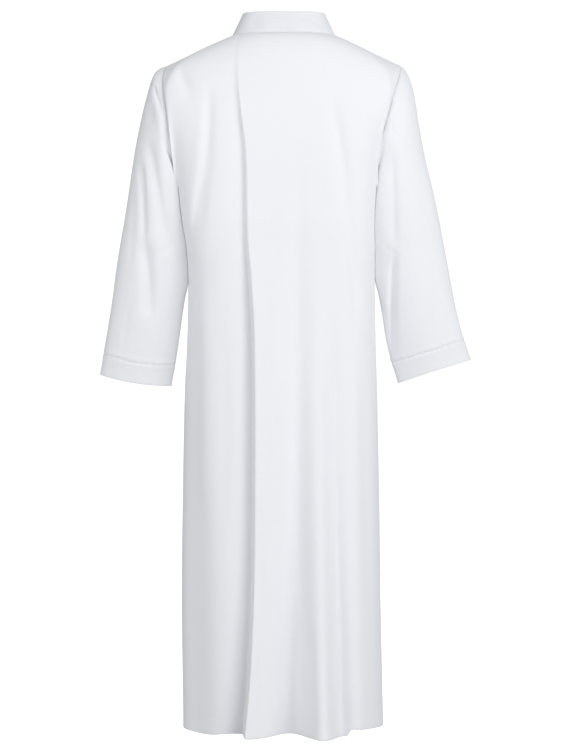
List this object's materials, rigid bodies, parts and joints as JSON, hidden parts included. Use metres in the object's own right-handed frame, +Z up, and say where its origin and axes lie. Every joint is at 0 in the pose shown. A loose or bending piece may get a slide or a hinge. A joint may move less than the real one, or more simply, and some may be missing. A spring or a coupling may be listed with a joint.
{
  "type": "open-front abaya",
  "caption": "Long open-front robe of plain light cloth, worn form, with a standing collar, set-in long sleeves and a floor-length column skirt.",
  "frame": {"origin": "middle of the neck, level with the points where the collar meets the shoulder seams, where the wearer's shoulders hold the robe", "axes": "+Z up, the wearer looks along -Y, +X is the wearer's left"},
  "size_m": [0.726, 0.3146, 1.3905],
  "materials": {
    "cloth": "matt fine plain weave, white"
  },
  "bodies": {
    "root": {"back": "cloth", "front_left": "cloth", "front_right": "cloth", "sleeve_left": "cloth", "sleeve_right": "cloth", "collar": "cloth"}
  },
  "joints": []
}
